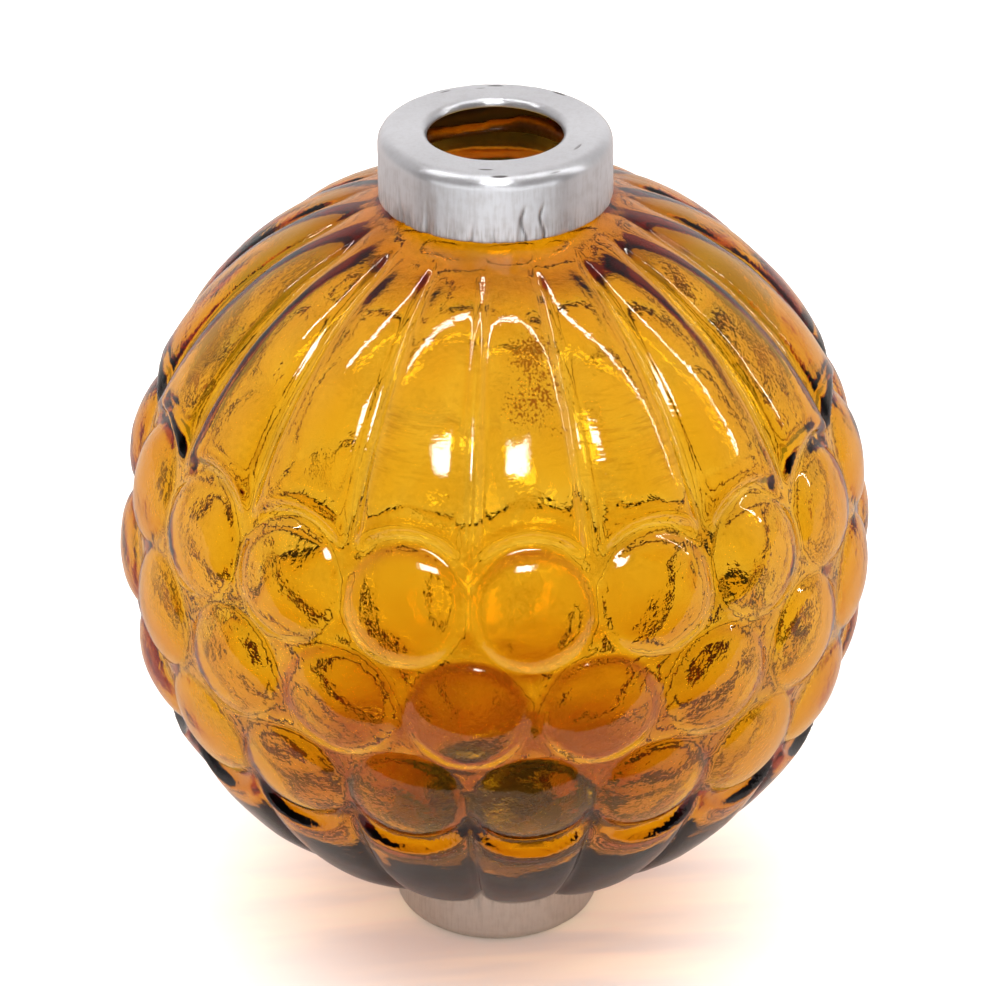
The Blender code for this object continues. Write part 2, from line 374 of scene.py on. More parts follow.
def rib_rise(latitude, turn):
    is_upper = latitude > 0.0
    half_width = np.where(is_upper, *RIB_WIDTHS) * PITCH / 2
    across = ((turn + PITCH / 2) % PITCH - PITCH / 2) / half_width
    crown = np.clip(1.0 - across**2, 0.0, 1.0) ** RIB_FULLNESS
    north = np.abs(latitude)
    from_grape = angle_to_grape(north, turn, ROW_ANGLE, 0.0)
    foot = np.where(is_upper, *STEP_FOOT_ANGLES)
    end = smooth_step(from_grape, foot, np.where(is_upper, *STEP_TOP_ANGLES))
    return crown * end * (north > ROW_ANGLE)


def relief_depth(latitude):
    north = np.abs(latitude)
    full_angle = np.where(latitude > 0.0, *RELIEF_FULL_ANGLES)
    shrink = np.minimum(1.0, np.cos(north) / np.cos(full_angle))
    fade = 1.0 - smooth_step(north, RELIEF_END_ANGLE - RELIEF_FADE_ANGLE, RELIEF_END_ANGLE)
    return RELIEF_DEPTH * shrink * fade


def pressed(grid, share, shift=0.0):
    """The grid's points moved towards the ball's middle by a share of the pattern's depth.

    Below the lowest grapes the pattern is shifted down by an angle.
    """
    distance = np.linalg.norm(grid, axis=-1)
    latitude = np.arcsin(grid[..., 2] / distance)
    latitude = latitude + shift * smooth_step(-latitude, *INNER_SHIFT_ANGLES)
    turn = np.arctan2(grid[..., 0], -grid[..., 1])
    rise = np.maximum(grape_rise(latitude, turn), rib_rise(latitude, turn))
    depth = share * relief_depth(latitude) * (1.0 - rise)
    return grid * ((distance - depth) / distance)[..., None]


def groove_share(grid):
    """1 down in the pattern's grooves and 0 on its crowns and on the plain glass."""
    distance = np.linalg.norm(grid, axis=-1)
    latitude = np.arcsin(grid[..., 2] / distance)
    turn = np.arctan2(grid[..., 0], -grid[..., 1])
    rise = np.maximum(grape_rise(latitude, turn), rib_rise(latitude, turn))
    return (1.0 - rise) ** 2 * relief_depth(latitude) / RELIEF_DEPTH


def waves(points, kinds):
    """Smooth random heights at points in space, the same on every run."""
    draw = np.random.RandomState(SEED)
    height = np.zeros(points.shape[:-1])
    for wavelength, size in kinds:
        ways = draw.normal(size=(WAVE_COUNT, 3))
        ways *= 2 * math.pi / wavelength / np.linalg.norm(ways, axis=1)[:, None]
        phases = draw.uniform(0.0, 2 * math.pi, WAVE_COUNT)
        for way, phase in zip(ways, phases):
            height += size * math.sqrt(2.0 / WAVE_COUNT) * np.sin(points @ way + phase)
    return height


def waved(grid, kinds):
    distance = np.linalg.norm(grid, axis=-1)
    return grid * (1.0 + waves(grid, kinds) / distance)[..., None]


def wavy_rims(grid, rims):
    """The necks' ends, cracked off by hand: each dips unevenly below its flat level."""
    turn = np.arctan2(grid[..., 0], -grid[..., 1])
    round_trip = np.stack([np.cos(turn), np.sin(turn), 0 * turn], -1)
    dip = RIM_WAVE * (0.5 + 0.5 * np.clip(waves(round_trip, RIM_WAVES), -1, 1))
    z = grid[..., 2]
    near = smooth_step(z, rims[0] - RIM_WAVE_REACH, rims[0])
    near = near - smooth_step(-z, rims[1] - RIM_WAVE_REACH, rims[1])
    grid = grid.copy()
    grid[..., 2] -= near * dip
    return grid


def turned_grid(profile, columns):
    """Rows of points, one row for each (r, z), each going once round from the front."""
    turns = np.arange(columns) * 2 * math.pi / columns
    r, z = profile[:, :1], profile[:, 1:]
    return np.stack([r * np.sin(turns), -r * np.cos(turns), z + 0 * turns], -1)


def blurred(grid, rounds):
    """The grid's distances from the middle, softened a little in both directions."""
    distance = np.linalg.norm(grid, axis=-1)
    soft = distance.copy()
    for _ in range(rounds):
        soft = (np.roll(soft, 1, 1) + 2 * soft + np.roll(soft, -1, 1)) / 4
        soft[1:-1] = (soft[:-2] + 2 * soft[1:-1] + soft[2:]) / 4
    return grid * (soft / distance)[..., None]


def bands(start, rows, columns):
    """Quads between neighbouring rows of a grid whose points start at an index."""
    row, column = np.meshgrid(np.arange(rows - 1), np.arange(columns), indexing="ij")
    after = (column + 1) % columns
    a, b = start + row * columns, start + (row + 1) * columns
    return np.stack([a + column, b + column, b + after, a + after], -1).reshape(-1, 4)


def make_glass(centre_z):
    """The outer and the inner face, joined at both necks' rims by rings of triangles."""
    rims = [reach - CAP_METAL - RIM_DROP for reach in REACHES]
    ends = [rim - RIM_ROUND for rim in rims]
    outer = side_profile(BALL_RADIUS, (0, 0), NECK_RADII, NECK_FILLETS, ends, outer_latitudes)
    inner = side_profile(CAVITY_RADIUS, THICKER, BORE_RADII, BORE_FILLETS, ends, inner_latitudes)
    outer_lip = np.array([[NECK_RADII[0] - RIM_ROUND, rims[0]]])
    outer_foot = np.array([[NECK_RADII[1] - RIM_ROUND, -rims[1]]])
    inner_lip = np.array([[BORE_RADII[0] + RIM_ROUND, rims[0]]])
    inner_foot = np.array([[BORE_RADII[1] + RIM_ROUND, -rims[1]]])
    outer = np.concatenate([outer_lip, outer, outer_foot])
    inner = np.concatenate([inner_lip, inner, inner_foot])
    outer_grid = waved(pressed(turned_grid(outer, OUTER_COLUMNS), 1.0), OUTER_WAVES)
    inner_grid = turned_grid(inner, INNER_COLUMNS)
    inner_grid = blurred(pressed(inner_grid, INNER_RELIEF, INNER_SHIFT), INNER_BLURS)
    inner_grid = waved(inner_grid, INNER_WAVES)
    outer_grid, inner_grid = wavy_rims(outer_grid, rims), wavy_rims(inner_grid, rims)
    points = np.concatenate([outer_grid.reshape(-1, 3), inner_grid.reshape(-1, 3)])
    points[:, 2] += centre_z
    inner_start = outer_grid.shape[0] * OUTER_COLUMNS
    quads = bands(0, len(outer), OUTER_COLUMNS).tolist()
    quads += bands(inner_start, len(inner), INNER_COLUMNS)[:, ::-1].tolist()
    last_outer = inner_start - OUTER_COLUMNS
    last_inner = inner_start + (len(inner) - 1) * INNER_COLUMNS
    rim_faces = ring_bridge(0, inner_start, False) + ring_bridge(last_outer, last_inner, True)
    mesh = bpy.data.meshes.new("glass")
    mesh.from_pydata(points.tolist(), [], quads + rim_faces)
    mesh.shade_smooth()
    add_attribute(mesh, "inside", np.arange(len(points)) >= inner_start)
    grooves = np.zeros(len(points))
    grooves[:inner_start] = groove_share(outer_grid).ravel()
    add_attribute(mesh, "groove", grooves)
    from_middle = np.abs(points[:, 2] - centre_z)
    lowest_rim = np.where(points[:, 2] > centre_z, *rims) - RIM_WAVE
    add_attribute(mesh, "rim", smooth_step(from_middle, lowest_rim - RIM_ROUND, lowest_rim))
    piece = bpy.data.objects.new("glass", mesh)
    bpy.context.scene.collection.objects.link(piece)
    return piece


def add_attribute(mesh, name, values):
    made = mesh.attributes.new(name, "FLOAT", "POINT")
    made.data.foreach_set("value", np.ascontiguousarray(values, np.float32).ravel())


def ring_bridge(outer_start, inner_start, turned_over):
    """Faces from a ring of outer columns to the inner ring, which has half as many."""
    faces = []
    for i in range(INNER_COLUMNS):
        after = (i + 1) % INNER_COLUMNS
        a, b = outer_start + 2 * i, outer_start + 2 * i + 1
        c = outer_start + 2 * after
        d, e = inner_start + i, inner_start + after
        made = [(a, b, d), (b, e, d), (b, c, e)]
        faces += [face[::-1] for face in made] if turned_over else made
    return faces


def cap_rows(radius, height):
    """A cap's closed outline about its own hem: curled hole, flat top, shoulder, skirt, inside."""
    quarter = math.pi / 2
    shoulder = (radius - CAP_SHOULDER, height - CAP_SHOULDER)
    curl = (HOLE_RADIUS + HOLE_CURL, height - HOLE_CURL)
    inner_radius = radius - CAP_METAL
    hole = arc(curl, HOLE_CURL, 2 * quarter, quarter, BEND_ROWS)
    bend = arc(shoulder, CAP_SHOULDER, quarter, 0.0, BEND_ROWS)
    flat = straight(hole[-1], bend[0], FLAT_ROWS)[1:-1]
    hem = arc((radius - HEM_ROUND, HEM_ROUND), HEM_ROUND, 0.0, -quarter, HEM_ROWS)
    skirt = straight(bend[-1], hem[0], SKIRT_ROWS)[1:-1]
    up = straight((inner_radius, 0.0), (inner_radius, shoulder[1]), NECK_ROWS)[:-1]
    inside = arc(shoulder, CAP_SHOULDER - CAP_METAL, 0.0, quarter, BEND_ROWS)
    lip = arc(curl, HOLE_CURL - CAP_METAL, quarter, 2 * quarter, HEM_ROWS)
    return np.concatenate([hole, flat, bend, skirt, hem, up, inside, lip])


def skirt_dents(turn, drop, draw):
    """How far the skirt is pushed in, and how much painted shade darkens it: soft folds and a few sharp
    creases.
    """
    depth, crease = np.zeros_like(turn), np.zeros_like(turn)
    for _ in range(WRINKLE_COUNT):
        middle, width = draw.uniform(-math.pi, math.pi), draw.uniform(*WRINKLE_WIDTHS)
        top, size = draw.uniform(*WRINKLE_HEIGHTS), draw.uniform(*WRINKLE_SIZES)
        away = (turn - middle + math.pi) % (2 * math.pi) - math.pi
        away = away + WRINKLE_LEAN * draw.uniform(-1.0, 1.0) * drop
        depth += WRINKLE_DEPTH * size * np.exp(-((away / width) ** 2)) * smooth_step(drop, 1 - top, 1)
    for middle in CREASE_TURNS:
        wander = CREASE_WANDER * np.sin(drop * CREASE_BENDS + middle * CREASE_PHASE)
        away = turn - middle - wander
        crease += np.exp(-((away / CREASE_WIDTH) ** 2)) * smooth_step(drop, *CREASE_FADE)
    # Painted shade: the creases and the deeper folds are darkened in the colour, as shade.
    dirt = np.clip(crease + WRINKLE_PAINTED_SHADE * np.maximum(depth, 0) / WRINKLE_DEPTH, 0, 1)
    return depth + CREASE_DEPTH * crease, dirt


def make_cap(name, radius, height, seed):
    """One cap, upright, with its hem at z = 0."""
    rows = cap_rows(radius, height)
    grid = turned_grid(rows, CAP_COLUMNS)
    turn = np.arctan2(grid[..., 0], -grid[..., 1])
    draw = np.random.RandomState(seed)
    skirt_height = height - CAP_SHOULDER
    drop = np.clip(1.0 - grid[..., 2] / skirt_height, 0.0, 1.0)
    side = (np.hypot(grid[..., 0], grid[..., 1]) > radius - CAP_METAL / 2) & (drop > 0.0)
    dent, crease = skirt_dents(turn, drop, draw)
    dent = dent * side
    flat_wave = waves(grid, CAP_WAVES)
    grid[..., :2] *= (1.0 - dent / radius)[..., None]
    grid[..., 2] -= np.abs(flat_wave)
    rows_count = len(rows)
    hidden_rows = NECK_ROWS - 1 + BEND_ROWS + HEM_ROWS
    is_hidden = np.arange(rows_count) >= rows_count - hidden_rows
    faces = bands(0, rows_count, CAP_COLUMNS).tolist()
    column = np.arange(CAP_COLUMNS)
    after = (column + 1) % CAP_COLUMNS
    last = (rows_count - 1) * CAP_COLUMNS
    faces += np.stack([last + column, column, after, last + after], -1).tolist()
    mesh = bpy.data.meshes.new(name)
    mesh.from_pydata(grid.reshape(-1, 3).tolist(), [], faces)
    mesh.shade_smooth()
    add_attribute(mesh, "hem", smooth_step(drop, HEM_DIRT_FROM, 1.0) * side)
    add_attribute(mesh, "crease", crease * side)
    add_attribute(mesh, "skirt", side)
    add_attribute(mesh, "hidden", np.repeat(is_hidden, CAP_COLUMNS))
    inner, outer = (radius - reach for reach in NICKS_WITHIN)
    from_axis = np.hypot(grid[..., 0], grid[..., 1])
    add_attribute(mesh, "shoulder", smooth_step(from_axis, inner, outer) * (drop == 0))
    piece = bpy.data.objects.new(name, mesh)
    bpy.context.scene.collection.objects.link(piece)
    return piece


def shader(name):
    made = bpy.data.materials.new(name)
    made.use_nodes = True
    return made, made.node_tree, made.node_tree.nodes["Principled BSDF"]


def math_node(tree, operation, *values):
    node = tree.nodes.new("ShaderNodeMath")
    node.operation = operation
    for socket, value in zip(node.inputs, values):
        if isinstance(value, bpy.types.NodeSocket):
            tree.links.new(value, socket)
        else:
            socket.default_value = value
    return node.outputs[0]


def ramp(tree, value, low, high):
    """0 below low, 1 above high, smooth between; the other way round when low is above high."""
    node = tree.nodes.new("ShaderNodeMapRange")
    node.interpolation_type = "SMOOTHSTEP"
    node.clamp = True
    if low < high:
        limits = (low, high, 0.0, 1.0)
    else:
        limits = (high, low, 1.0, 0.0)
    tree.links.new(value, node.inputs["Value"])
    for name, limit in zip(("From Min", "From Max", "To Min", "To Max"), limits):
        node.inputs[name].default_value = limit
    return node.outputs["Result"]


def mixed(tree, share, low, high):
    """Low where the share is 0, high where it is 1."""
    node = tree.nodes.new("ShaderNodeMix")
    for name, value in (("Factor", share), ("A", low), ("B", high)):
        if isinstance(value, bpy.types.NodeSocket):
            tree.links.new(value, node.inputs[name])
        else:
            node.inputs[name].default_value = value
    return node.outputs["Result"]


def blended(tree, share, *colours):
    """The first colour where the share is 0, the second where it is 1."""
    node = tree.nodes.new("ShaderNodeMix")
    node.data_type = "RGBA"
    tree.links.new(share, node.inputs["Factor"])
    for socket, colour in zip(node.inputs[COLOUR_INPUTS], colours):
        if isinstance(colour, bpy.types.NodeSocket):
            tree.links.new(colour, socket)
        else:
            socket.default_value = colour
    return node.outputs[COLOUR_OUTPUT]


def combined(tree, *values):
    node = tree.nodes.new("ShaderNodeCombineXYZ")
    for socket, value in zip(node.inputs, values):
        if isinstance(value, bpy.types.NodeSocket):
            tree.links.new(value, socket)
        else:
            socket.default_value = value
    return node.outputs["Vector"]


def attribute(tree, name):
    node = tree.nodes.new("ShaderNodeAttribute")
    node.attribute_name = name
    return node.outputs["Fac"]


def noise(tree, place, scale, detail):
    node = tree.nodes.new("ShaderNodeTexNoise")
    node.inputs["Scale"].default_value = scale
    node.inputs["Detail"].default_value = detail
    tree.links.new(place, node.inputs["Vector"])
    return node.outputs["Fac"]


def bumped(tree, principled, height, distance):
    node = tree.nodes.new("ShaderNodeBump")
    node.inputs["Strength"].default_value = 1.0
    node.inputs["Distance"].default_value = distance
    tree.links.new(height, node.inputs["Height"])
    tree.links.new(node.outputs["Normal"], principled.inputs["Normal"])


def spots(tree, place, kinds):
    """1 in the core of each spot, falling to 0 at its reach."""
    total = 0.0
    for turn, latitude, reach in kinds:
        turn, latitude = math.radians(turn), math.radians(latitude)
        flat = BALL_RADIUS * math.cos(latitude)
        node = tree.nodes.new("ShaderNodeVectorMath")
        node.operation = "DISTANCE"
        tree.links.new(place, node.inputs[0])
        height = REACHES[1] + BALL_RADIUS * math.sin(latitude)
        node.inputs[1].default_value = (flat * math.sin(turn), -flat * math.cos(turn), height)
        near = ramp(tree, node.outputs["Value"], reach, SPOT_CORE * reach)
        total = math_node(tree, "MAXIMUM", near, total)
    return total


def glass_material():
    """Clear amber glass with dust, rust and smudges inside, and grime and chill lines outside."""
    made, tree, principled = shader("amber_glass")
    principled.inputs["IOR"].default_value = GLASS_IOR
    principled.inputs["Transmission Weight"].default_value = 1.0
    place = tree.nodes.new("ShaderNodeTexCoord").outputs["Object"]
    split = tree.nodes.new("ShaderNodeSeparateXYZ")
    tree.links.new(place, split.inputs["Vector"])
    x, y, z = split.outputs
    inside = attribute(tree, "inside")
    outside = math_node(tree, "SUBTRACT", 1.0, inside)
    patches = noise(tree, place, *PATCH_NOISE)
    grains = noise(tree, place, *GRAIN_NOISE)
    mottle = mixed(tree, PATCH_SHARE, grains, patches)
    low = ramp(tree, z, DUST_FROM, DUST_FULL)
    high = math_node(tree, "MULTIPLY", ramp(tree, z, TOP_DUST_FROM, TOP_DUST_FULL), TOP_DUST_SHARE)
    ends = math_node(tree, "MAXIMUM", low, high)
    dust = ramp(tree, math_node(tree, "MULTIPLY_ADD", ends, DUST_AT_ENDS, mottle), *DUST_LIMITS)
    dust = math_node(tree, "MULTIPLY", dust, math_node(tree, "MULTIPLY", ends, inside))
    thin_dust = math_node(tree, "MULTIPLY", ramp(tree, mottle, *THIN_DUST_LIMITS), inside)
    thin_dust = math_node(tree, "MULTIPLY", thin_dust, THIN_DUST_SHARE)
    dust = math_node(tree, "MAXIMUM", dust, thin_dust)
    stained = spots(tree, place, RUST_SPOTS)
    runs = combined(tree, x, y, math_node(tree, "MULTIPLY", z, RUN_STRETCH))
    runs = noise(tree, runs, *RUN_NOISE)
    rust = math_node(tree, "MULTIPLY", patches, RUST_PATCHES)
    rust = math_node(tree, "MULTIPLY_ADD", stained, RUST_NEAR, rust)
    rust = ramp(tree, math_node(tree, "ADD", rust, runs), *RUST_LIMITS)
    rust = math_node(tree, "MULTIPLY_ADD", stained, RUST_HAZE, rust)
    rust = math_node(tree, "MULTIPLY", rust, inside)
    smudge = math_node(tree, "MULTIPLY_ADD", spots(tree, place, SMUDGE_SPOTS), SMUDGE_NEAR, grains)
    smudge = math_node(tree, "MULTIPLY", ramp(tree, smudge, *SMUDGE_LIMITS), inside)
    flat_lines = combined(tree, x, y, math_node(tree, "MULTIPLY", z, LINE_STRETCH))
    flat_lines = noise(tree, flat_lines, *LINE_NOISE)
    chill = math_node(tree, "MULTIPLY", spots(tree, place, CHILL_SPOTS), outside)
    groove = math_node(tree, "MULTIPLY", attribute(tree, "groove"), ramp(tree, mottle, *GROOVE_LIMITS))
    colour = blended(tree, dust, WHITE, DUST)
    colour = blended(tree, rust, colour, RUST)
    colour = blended(tree, smudge, colour, SMUDGE)
    chill_grime = math_node(tree, "MULTIPLY", chill, ramp(tree, flat_lines, *CHILL_LIMITS))
    grime = math_node(tree, "MAXIMUM", groove, chill_grime)
    colour = blended(tree, math_node(tree, "MULTIPLY", grime, GRIME_SHARE), colour, GROOVE_GRIME)
    tree.links.new(colour, principled.inputs["Base Color"])
    dirt = math_node(tree, "MAXIMUM", dust, math_node(tree, "MAXIMUM", rust, smudge))
    roughness = math_node(tree, "MULTIPLY", dirt, DIRT_ROUGHNESS)
    rim = math_node(tree, "MULTIPLY", attribute(tree, "rim"), RIM_ROUGHNESS)
    tree.links.new(math_node(tree, "MAXIMUM", roughness, rim), principled.inputs["Roughness"])
    grain = math_node(tree, "MULTIPLY_ADD", inside, GRAIN_MORE_INSIDE, GRAIN_OUTSIDE)
    grain = math_node(tree, "MULTIPLY", grains, grain)
    lines = math_node(tree, "MULTIPLY", math_node(tree, "MULTIPLY", chill, flat_lines), CHILL_HEIGHT)
    height = math_node(tree, "ADD", grain, lines)
    bumped(tree, principled, height, GLASS_BUMP)
    absorption = tree.nodes.new("ShaderNodeVolumeAbsorption")
    absorption.inputs["Color"].default_value = GLASS_COLOUR
    absorption.inputs["Density"].default_value = GLASS_DENSITY
    out = tree.nodes["Material Output"]
    tree.links.new(absorption.outputs["Volume"], out.inputs["Volume"])
    return made


def aluminium(name, clean, dirty, hidden):
    """Spun aluminium gone dull: fine turning lines, drawing streaks, nicks, a dirty hem, painted shade in
    the skirt's creases and folds, and an inside in a colour of its own.
    """
    made, tree, principled = shader(name)
    principled.inputs["Metallic"].default_value = METALLIC
    principled.inputs["Anisotropic"].default_value = BRUSHED
    principled.inputs["Anisotropic Rotation"].default_value = QUARTER_TURN
    tangent = tree.nodes.new("ShaderNodeTangent")
    tangent.direction_type = "RADIAL"
    tangent.axis = "Z"
    tree.links.new(tangent.outputs["Tangent"], principled.inputs["Tangent"])
    place = tree.nodes.new("ShaderNodeTexCoord").outputs["Object"]
    split = tree.nodes.new("ShaderNodeSeparateXYZ")
    tree.links.new(place, split.inputs["Vector"])
    x, y, z = split.outputs
    hem = attribute(tree, "hem")
    squared = math_node(tree, "MULTIPLY_ADD", x, x, math_node(tree, "MULTIPLY", y, y))
    distance = math_node(tree, "SQRT", squared)
    turn = math_node(tree, "ARCTAN2", x, math_node(tree, "MULTIPLY", y, -1.0))
    upright = combined(tree, x, y, math_node(tree, "MULTIPLY", z, STREAK_STRETCH))
    streaks = noise(tree, upright, *STREAK_NOISE)
    clouds = noise(tree, place, *CLOUD_NOISE)
    rings = noise(tree, combined(tree, distance, z, 0.0), *RING_NOISE)
    round_trip = combined(tree, math_node(tree, "MULTIPLY", turn, NICK_RADIUS), distance, z)
    nick = tree.nodes.new("ShaderNodeTexVoronoi")
    nick.inputs["Scale"].default_value = NICK_SCALE
    tree.links.new(round_trip, nick.inputs["Vector"])
    nick_kind = tree.nodes.new("ShaderNodeSeparateColor")
    tree.links.new(nick.outputs["Color"], nick_kind.inputs["Color"])
    is_nick = math_node(
        tree,
        "MULTIPLY",
        ramp(tree, nick.outputs["Distance"], *NICK_LIMITS),
        math_node(tree, "GREATER_THAN", nick_kind.outputs["Red"], NICKS_ABOVE),
    )
    is_nick = math_node(tree, "MULTIPLY", is_nick, attribute(tree, "shoulder"))
    wear = ramp(tree, mixed(tree, STREAK_SHARE, clouds, streaks), *WEAR_LIMITS)
    skirt = attribute(tree, "skirt")
    amount = math_node(tree, "MULTIPLY_ADD", skirt, WEAR_MORE_ON_SKIRT, WEAR_ON_TOP)
    wear = math_node(tree, "MULTIPLY", wear, amount)
    hem_dirt = math_node(tree, "MULTIPLY", hem, ramp(tree, streaks, *HEM_LIMITS))
    wear = math_node(tree, "MULTIPLY_ADD", hem_dirt, HEM_SHARE, wear)
    colour = blended(tree, wear, clean, dirty)
    # Painted shade in the skirt's creases and folds, broken up along the streaks, in the nicks' dark
    # colour.
    crease_streaks = ramp(tree, streaks, *CREASE_LIMITS)
    crease = math_node(tree, "MULTIPLY", attribute(tree, "crease"), crease_streaks)
    nicks_and_crease_shade = math_node(tree, "MAXIMUM", is_nick, math_node(tree, "MULTIPLY", crease, CREASE_SHARE))
    colour = blended(tree, nicks_and_crease_shade, colour, NICK_AND_CREASE_SHADE_COLOUR)
    # The inside gets its own colour: on the top cap a painted dark shade, on the bottom cap the warm
    # painted light.
    colour = blended(tree, attribute(tree, "hidden"), colour, hidden)
    tree.links.new(colour, principled.inputs["Base Color"])
    roughness = math_node(tree, "MULTIPLY_ADD", wear, WORN_ROUGHNESS, CAP_ROUGHNESS)
    tree.links.new(roughness, principled.inputs["Roughness"])
    ring_height = math_node(tree, "MULTIPLY", rings, RING_HEIGHT)
    height = math_node(tree, "MULTIPLY_ADD", streaks, STREAK_HEIGHT, ring_height)
    height = math_node(tree, "SUBTRACT", height, is_nick)
    bumped(tree, principled, height, CAP_BUMP)
    return made


def make_floor():
    """A sheet of white paper that ends a little in front of the ball."""
    mesh = bpy.data.meshes.new("floor")
    left, right, back = -FLOOR_HALF_WIDTH, FLOOR_HALF_WIDTH, FLOOR_HALF_WIDTH
    corners = [(left, FLOOR_FRONT, 0), (right, FLOOR_FRONT, 0), (right, back, 0), (left, back, 0)]
    mesh.from_pydata(corners, [], [(0, 1, 2, 3)])
    mesh.transform(Matrix.Rotation(CAMERA_AZIMUTH, 4, "Z"))
    floor = bpy.data.objects.new("floor", mesh)
    bpy.context.scene.collection.objects.link(floor)
    made, tree, principled = shader("pale_floor")
    place = tree.nodes.new("ShaderNodeTexCoord").outputs["Object"]
    away = tree.nodes.new("ShaderNodeVectorMath")
    away.operation = "LENGTH"
    tree.links.new(place, away.inputs[0])
    near = ramp(tree, away.outputs["Value"], GLOW_REACH, 0.0)
    stretch = tree.nodes.new("ShaderNodeMapping")
    stretch.inputs["Scale"].default_value = (1.0, GLOW_STREAK_STRETCH, 1.0)
    tree.links.new(place, stretch.inputs["Vector"])
    streaks = noise(tree, stretch.outputs["Vector"], *GLOW_STREAK_NOISE)
    streaks = ramp(tree, streaks, *GLOW_STREAK_LIMITS)
    glow = math_node(tree, "MULTIPLY_ADD", streaks, GLOW_ON_STREAKS, GLOW_BETWEEN)
    glow = math_node(tree, "MULTIPLY", near, glow)
    path = tree.nodes.new("ShaderNodeLightPath")
    seen, mirrored = path.outputs["Is Camera Ray"], path.outputs["Is Reflection Ray"]
    share = mixed(tree, near, PAPER * FLOOR_MIRRORED, PAPER * FOOT_MIRRORED)
    share = mixed(tree, mirrored, PAPER * FLOOR_IN_GLASS, share)
    share = mixed(tree, seen, share, PAPER)
    tint = blended(tree, near, WHITE, blended(tree, streaks, DIM_TINT, GLOW_TINT))
    scaled = tree.nodes.new("ShaderNodeVectorMath")
    scaled.operation = "SCALE"
    tree.links.new(tint, scaled.inputs[0])
    tree.links.new(share, scaled.inputs["Scale"])
    tree.links.new(scaled.outputs["Vector"], principled.inputs["Base Color"])
    even = math_node(tree, "MULTIPLY_ADD", near, EVEN_GLOW, EVEN_STRENGTH)
    strength = mixed(tree, seen, even, math_node(tree, "MULTIPLY", glow, GLOW_STRENGTH))
    strength = mixed(tree, mirrored, strength, 0.0)
    tree.links.new(strength, principled.inputs["Emission Strength"])
    colour = blended(tree, near, EVEN_COLOUR, GLOW_COLOUR)
    tree.links.new(blended(tree, seen, colour, GLOW_COLOUR), principled.inputs["Emission Color"])
    principled.inputs["Roughness"].default_value = PAPER_ROUGHNESS
    principled.inputs["Specular IOR Level"].default_value = 0.0
    mesh.materials.append(made)


def make_camera():
    camera = bpy.data.objects.new("camera", bpy.data.cameras.new("camera"))
    bpy.context.scene.collection.objects.link(camera)
    camera.data.sensor_width = CAMERA_SENSOR
    camera.data.lens = CAMERA_LENS
    camera.data.clip_end = FAR_AWAY
    around = Matrix.Rotation(CAMERA_AZIMUTH, 4, "Z")
    tilt = Matrix.Rotation(math.pi / 2 - CAMERA_ELEVATION, 4, "X")
    aim = Matrix.Translation(CAMERA_TARGET) @ around @ tilt
    look = Matrix.Rotation(CAMERA_YAW, 4, "Y") @ Matrix.Rotation(CAMERA_PITCH, 4, "X")
    camera.matrix_world = (
        aim
        @ Matrix.Translation((0, 0, CAMERA_DISTANCE))
        @ look
        @ Matrix.Rotation(CAMERA_ROLL, 4, "Z")
    )
    bpy.context.scene.camera = camera


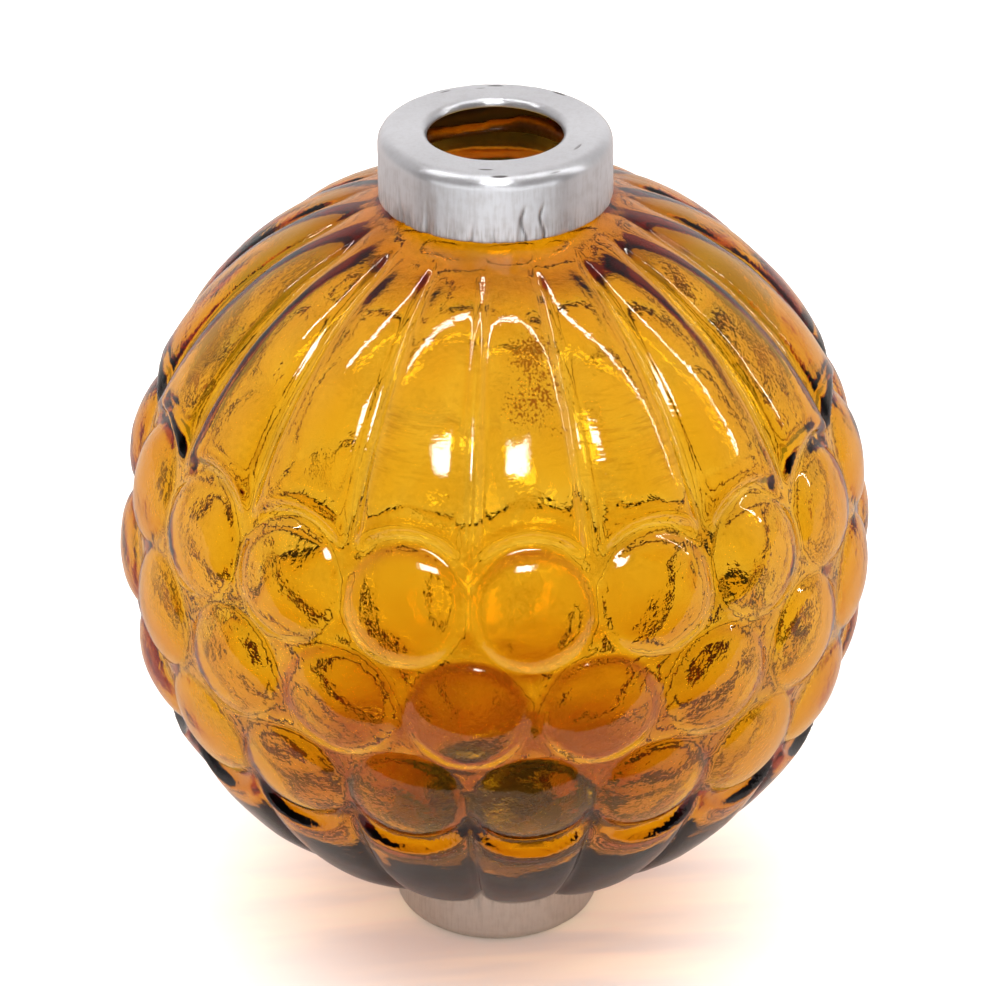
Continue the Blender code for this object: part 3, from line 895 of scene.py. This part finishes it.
def make_world():
    """A room with a dark front side, a strip lamp overhead and a window before the ball.

    Only glass and metal see that room, and light through the glass finds it no darker than a least
    brightness. The camera sees plain white, and the floor gets an even light from above.
    """
    world = bpy.data.worlds.new("studio")
    bpy.context.scene.world = world
    world.use_nodes = True
    world.cycles.sampling_method = "NONE"
    tree = world.node_tree
    coordinates = tree.nodes.new("ShaderNodeTexCoord")
    turn = tree.nodes.new("ShaderNodeVectorRotate")
    turn.rotation_type = "Z_AXIS"
    turn.inputs["Angle"].default_value = -CAMERA_AZIMUTH
    tree.links.new(coordinates.outputs["Generated"], turn.inputs["Vector"])
    split = tree.nodes.new("ShaderNodeSeparateXYZ")
    tree.links.new(turn.outputs["Vector"], split.inputs["Vector"])
    x, y, z = split.outputs
    behind = ramp(tree, y, *BEHIND_LIMITS)
    behind = math_node(tree, "MULTIPLY_ADD", behind, WALL_MORE_BEHIND, WALL_BRIGHTNESS)
    sides = ramp(tree, y, *SIDE_LIMITS)
    walls = math_node(tree, "MULTIPLY_ADD", sides, WALL_MORE_AT_SIDES, behind)
    ceiling = ramp(tree, y, *CEILING_LIMITS)
    ceiling = math_node(tree, "MULTIPLY_ADD", ceiling, CEILING_MORE_BEHIND, CEILING_BRIGHTNESS)
    room = mixed(tree, ramp(tree, z, *HIGH_LIMITS), walls, ceiling)
    path = tree.nodes.new("ShaderNodeLightPath")
    in_glass = mixed(tree, ramp(tree, z, *IN_GLASS_LIMITS), IN_GLASS_HIGH, IN_GLASS_LOW)
    in_glass = math_node(tree, "MAXIMUM", room, in_glass)
    room = mixed(tree, path.outputs["Is Reflection Ray"], in_glass, room)
    across_strip = math_node(tree, "ABSOLUTE", math_node(tree, "SUBTRACT", y, STRIP_PLACE))
    half_width = mixed(tree, ramp(tree, x, *STRIP_NARROWS), *STRIP_HALF_WIDTHS)
    strip = math_node(
        tree,
        "MULTIPLY",
        math_node(tree, "LESS_THAN", across_strip, half_width),
        math_node(tree, "GREATER_THAN", z, STRIP_LOWEST),
    )
    strip = math_node(tree, "MULTIPLY", strip, math_node(tree, "GREATER_THAN", x, STRIP_LEFT_END))
    window = math_node(tree, "LESS_THAN", y, 0.0)
    for way, middle, half_size in zip((x, z), WINDOW_MIDDLE, WINDOW_HALF_SIZE):
        away = math_node(tree, "ABSOLUTE", math_node(tree, "SUBTRACT", way, middle))
        edge = (half_size * share for share in WINDOW_EDGE)
        window = math_node(tree, "MULTIPLY", window, ramp(tree, away, *edge))
    lamps = math_node(tree, "MULTIPLY", math_node(tree, "MAXIMUM", strip, window), LAMP_STRENGTH)
    seen = math_node(tree, "MAXIMUM", room, lamps)
    sky = math_node(tree, "POWER", math_node(tree, "MAXIMUM", z, 0.0), 2.0)
    sky = math_node(tree, "MULTIPLY_ADD", sky, SKY_TOP, SKY_EVEN)
    is_camera = math_node(tree, "MULTIPLY", path.outputs["Is Camera Ray"], BACKDROP)
    is_soft = math_node(tree, "GREATER_THAN", path.outputs["Diffuse Depth"], 0.5)
    light = mixed(tree, is_soft, seen, sky)
    light = math_node(tree, "MAXIMUM", light, is_camera)
    background = tree.nodes["Background"]
    tree.links.new(light, background.inputs["Strength"])
    tree.links.new(blended(tree, is_soft, WHITE, SKY_COLOUR), background.inputs["Color"])


def make_cap_lamp(caps):
    """A wide soft lamp before the caps, low down, which lights only them."""
    lamp = bpy.data.lights.new("cap lamp", "AREA")
    lamp.shape = "RECTANGLE"
    lamp.size, lamp.size_y = CAP_LAMP_SIZE
    lamp.energy = CAP_LAMP_POWER
    holder = bpy.data.objects.new("cap lamp", lamp)
    bpy.context.scene.collection.objects.link(holder)
    around = Matrix.Rotation(CAMERA_AZIMUTH, 4, "Z")
    place = Matrix.Translation((0.0, -CAP_LAMP_DISTANCE, CAP_LAMP_HEIGHT))
    holder.matrix_world = around @ place @ Matrix.Rotation(math.pi / 2, 4, "X")
    lit = bpy.data.collections.new("lit by the cap lamp")
    for cap in caps:
        lit.objects.link(cap)
    holder.light_linking.receiver_collection = lit
    holder.visible_camera = False


def fit_in_box(piece, box):
    """Shrinks a piece about the box's middle, by a hair, where it would stick out of the CAD box."""
    low, high = (np.array(corner) for corner in box)
    middle = (low + high) / 2
    points = np.array([vertex.co[:] for vertex in piece.data.vertices]) - middle
    scale = np.minimum(1.0, (high - middle) / np.abs(points).max(0))
    centred = Matrix.Translation(middle) @ Matrix.Diagonal((*scale, 1.0))
    piece.data.transform(centred @ Matrix.Translation(-middle))


def main():
    """The room, the glass, the two caps and their lamp, with each piece kept in its CAD box."""
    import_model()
    scene = bpy.context.scene
    scene.view_settings.view_transform = "Standard"
    scene.cycles.max_bounces = BOUNCES
    scene.cycles.transmission_bounces = BOUNCES
    scene.cycles.glossy_bounces = GLOSSY_BOUNCES
    make_camera()
    make_world()
    make_floor()
    glass = make_glass(REACHES[1])
    glass.data.materials.append(glass_material())
    fit_in_box(glass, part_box("glass_ball"))
    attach(glass, "root")
    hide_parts("glass_ball")
    caps = []
    names = ("top_cap", "bottom_cap")
    colour_sets = (TOP_CAP_COLOURS, BOTTOM_CAP_COLOURS)
    sizes = zip(CAP_RADII, CAP_HEIGHTS, CAP_SEEDS)
    for name, colours, (radius, height, seed) in zip(names, colour_sets, sizes):
        cap = make_cap(name + "_metal", radius, height, seed)
        if name == "top_cap":
            cap.data.transform(Matrix.Translation((0, 0, sum(REACHES) - height)))
        else:
            cap.data.transform(Matrix.Translation((0, 0, height)) @ Matrix.Rotation(math.pi, 4, "X"))
        cap.data.materials.append(aluminium(name + "_aluminium", *colours))
        fit_in_box(cap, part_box(name))
        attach(cap, "root")
        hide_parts(name)
        caps.append(cap)
    make_cap_lamp(caps)


main()
